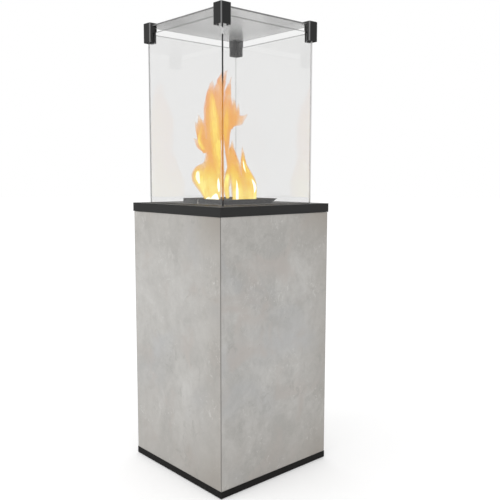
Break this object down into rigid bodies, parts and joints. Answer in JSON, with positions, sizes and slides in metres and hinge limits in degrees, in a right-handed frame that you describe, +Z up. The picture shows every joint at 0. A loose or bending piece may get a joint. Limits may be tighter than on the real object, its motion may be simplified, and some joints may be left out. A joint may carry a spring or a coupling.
{
  "type": "gas patio heater",
  "caption": "Square free-standing gas patio heater: a flame chamber of glass panes on a cabinet that hides the gas bottle, with a rear door.",
  "frame": {"origin": "on the floor, under the centre of the cabinet", "axes": "+Z up, -Y towards the plain front, +X to the right seen from the front, +Y towards the door"},
  "size_m": [0.491, 0.491, 1.55],
  "materials": {
    "anthracite_powder_coat": "fine matt powder coat",
    "black_powder_coat": "matt powder coat",
    "concrete_look_board": "light grey trowelled cement, cloudy",
    "galvanised_steel": "dull zinc coated sheet",
    "bare_aluminium": "mill finish",
    "zinc_fasteners": "bright zinc plate",
    "black_rubber": "matt",
    "clear_glass": "clear toughened glass with ground edges",
    "cast_aluminium_black": "black anodised",
    "heatproof_paint": "matt dark grey stove paint",
    "stainless_steel": "stainless sheet, dulled by heat",
    "brass": "turned",
    "copper": "drawn copper tube",
    "white_ceramic": "unglazed insulator",
    "red_silicone": "silicone sleeve",
    "black_plastic": "fine texture",
    "ochre_plastic": "moulded",
    "red_plastic": "moulded"
  },
  "bodies": {
    "cabinet": {"plinth": "black_powder_coat", "floor_pan": "galvanised_steel", "bottle_ring": "galvanised_steel", "corner_post_front_left": "galvanised_steel", "corner_post_front_right": "galvanised_steel", "corner_post_back_left": "galvanised_steel", "corner_post_back_right": "galvanised_steel", "upper_frame": "galvanised_steel", "heat_shield": "bare_aluminium", "front_panel": "concrete_look_board", "left_panel": "concrete_look_board", "right_panel": "concrete_look_board", "frame_bolts": "zinc_fasteners", "panel_screws": "zinc_fasteners", "plate_screws": "zinc_fasteners", "plinth_bolts": "zinc_fasteners", "foot_nuts": "zinc_fasteners", "top_plate": "anthracite_powder_coat", "deck_plate": "anthracite_powder_coat", "glass_seals": "black_rubber", "pane_front": "clear_glass", "pane_back": "clear_glass", "pane_left": "clear_glass", "pane_right": "clear_glass", "pane_top": "clear_glass", "corner_cover_front_left": "anthracite_powder_coat", "corner_cover_front_right": "anthracite_powder_coat", "corner_cover_back_left": "anthracite_powder_coat", "corner_cover_back_right": "anthracite_powder_coat", "corner_blocks": "cast_aluminium_black", "glass_pads": "black_rubber", "cover_screws": "zinc_fasteners", "burner_tray": "heatproof_paint", "burner": "stainless_steel", "injector": "brass", "pilot_housing": "heatproof_paint", "pilot_burner": "stainless_steel", "spark_electrode": "white_ceramic", "thermocouple": "copper", "ignition_lead": "red_silicone", "gas_pipe": "copper", "pilot_pipe": "copper", "control_panel": "galvanised_steel", "gas_valve": "bare_aluminium", "igniter_body": "black_plastic", "tilt_switch": "ochre_plastic", "gas_inlet": "brass", "magnet_catch": "black_plastic"},
    "door": {"door_panel": "concrete_look_board", "door_frame": "galvanised_steel", "door_pivots": "zinc_fasteners", "finger_cup": "black_plastic"},
    "spindle": {"valve_spindle": "zinc_fasteners"},
    "knob": {"control_knob": "black_plastic"},
    "button": {"igniter_button": "red_plastic"},
    "foot_front_left": {"foot_front_left": "black_rubber"},
    "foot_front_right": {"foot_front_right": "black_rubber"},
    "foot_back_left": {"foot_back_left": "black_rubber"},
    "foot_back_right": {"foot_back_right": "black_rubber"}
  },
  "joints": [
    {"name": "door_hinge", "type": "hinge", "parent": "cabinet", "child": "door", "pos_m": [-0.226, 0.239, 0.463], "axis": [0, 0, 1], "range_deg": [0, 110]},
    {"name": "spindle_push", "type": "slide", "parent": "cabinet", "child": "spindle", "axis": [0, -1, 0], "range_m": [0, 0.004], "stiffness_N_per_m": 1500, "springref_m": -0.002},
    {"name": "knob_turn", "type": "hinge", "parent": "spindle", "child": "knob", "pos_m": [-0.06, 0.2165, 0.835], "axis": [0, 1, 0], "range_deg": [0, 180]},
    {"name": "igniter_push", "type": "slide", "parent": "cabinet", "child": "button", "axis": [0, -1, 0], "range_m": [0, 0.006], "stiffness_N_per_m": 1500, "springref_m": -0.002},
    {"name": "foot_front_left_level", "type": "slide", "parent": "cabinet", "child": "foot_front_left", "axis": [0, 0, -1], "range_m": [0, 0.012]},
    {"name": "foot_front_right_level", "type": "slide", "parent": "cabinet", "child": "foot_front_right", "axis": [0, 0, -1], "range_m": [0, 0.012]},
    {"name": "foot_back_left_level", "type": "slide", "parent": "cabinet", "child": "foot_back_left", "axis": [0, 0, -1], "range_m": [0, 0.012]},
    {"name": "foot_back_right_level", "type": "slide", "parent": "cabinet", "child": "foot_back_right", "axis": [0, 0, -1], "range_m": [0, 0.012]}
  ]
}
